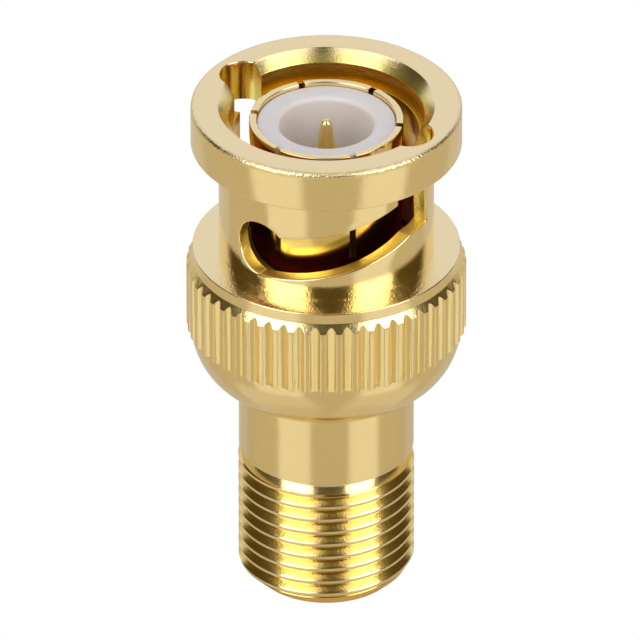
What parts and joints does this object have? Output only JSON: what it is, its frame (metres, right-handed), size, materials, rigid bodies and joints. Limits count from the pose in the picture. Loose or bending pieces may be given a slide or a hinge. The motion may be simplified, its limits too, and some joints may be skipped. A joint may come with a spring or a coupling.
{
  "type": "bayonet plug to f jack coaxial adapter",
  "caption": "Gold-plated coaxial adapter: bayonet plug with a knurled, spring-loaded turning coupling nut on one end, threaded F jack on the other.",
  "frame": {"origin": "centre of the end face of the F jack, on the adapter's axis; the adapter stands on this face", "axes": "+Z along the adapter's axis, from the F jack towards the bayonet plug; +X and +Y are square to it, and the first lead-in channel of the nut is 34.5 degrees clockwise from +X"},
  "size_m": [0.015, 0.015, 0.0293],
  "materials": {
    "gold_nut": "polished gold plate on brass",
    "gold_body": "gold plate on brass",
    "gold_contact": "gold plate on spring brass",
    "gold_shell": "fine turned gold plate on brass",
    "gasket_silicone": "soft silicone",
    "spring_steel": "bright spring steel",
    "white_insulator": "satin white plastic"
  },
  "bodies": {
    "adapter_body": {"plug_body": "gold_body", "outer_contact": "gold_contact", "face_gasket": "gasket_silicone", "wave_washer_front": "spring_steel", "wave_washer_rear": "spring_steel", "front_insulator": "white_insulator", "rear_insulator": "white_insulator", "centre_contact": "gold_contact", "jack_shell": "gold_shell"},
    "washer": {"thrust_washer": "spring_steel"},
    "nut": {"coupling_nut": "gold_nut"}
  },
  "joints": [
    {"name": "nut_draw", "type": "slide", "parent": "adapter_body", "child": "washer", "axis": [0, 0, 1], "range_m": [0, 0.0006], "stiffness_N_per_m": 12000, "springref_m": -0.0006, "deforming": ["wave_washer_front", "wave_washer_rear"]},
    {"name": "nut_turn", "type": "hinge", "parent": "washer", "child": "nut", "pos_m": [0, 0, 0.02], "axis": [0, 0, 1], "continuous": true}
  ]
}
